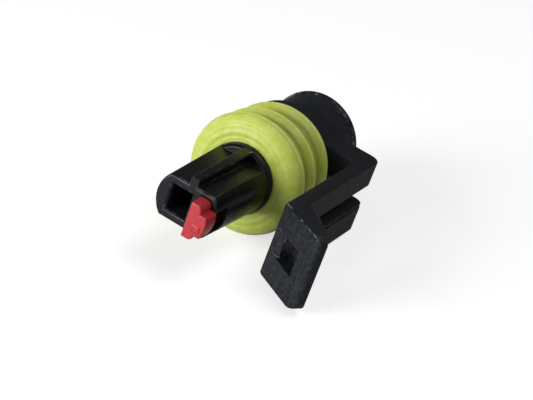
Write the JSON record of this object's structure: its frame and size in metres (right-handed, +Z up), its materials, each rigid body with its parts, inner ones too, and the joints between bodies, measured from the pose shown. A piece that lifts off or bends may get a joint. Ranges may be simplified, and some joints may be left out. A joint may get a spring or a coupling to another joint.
{
  "type": "sealed automotive connector",
  "caption": "Sealed single-way plug housing with a ribbed ring seal, a windowed side latch and a sliding secondary lock.",
  "frame": {"origin": "on the table, under the centre of the connector as it lies at rest on its seal ribs and its lower latch arm", "axes": "+Y points from the nose to the wire entry and is level; the connector's own axis dips 3.65 degrees towards the rear; +X points towards the latch; +Z up"},
  "size_m": [0.027, 0.0374, 0.0166],
  "materials": {
    "housing_plastic": "satin moulded",
    "seal_rubber": "smooth oiled silicone",
    "lock_plastic": "moulded"
  },
  "bodies": {
    "plug_body": {"housing": "housing_plastic", "ring_seal": "seal_rubber"},
    "lock_slider": {"secondary_lock": "lock_plastic"}
  },
  "joints": [
    {"name": "lock_slide", "type": "slide", "parent": "plug_body", "child": "lock_slider", "axis": [0, 0.998, -0.0637], "range_m": [0, 0.0024]}
  ]
}
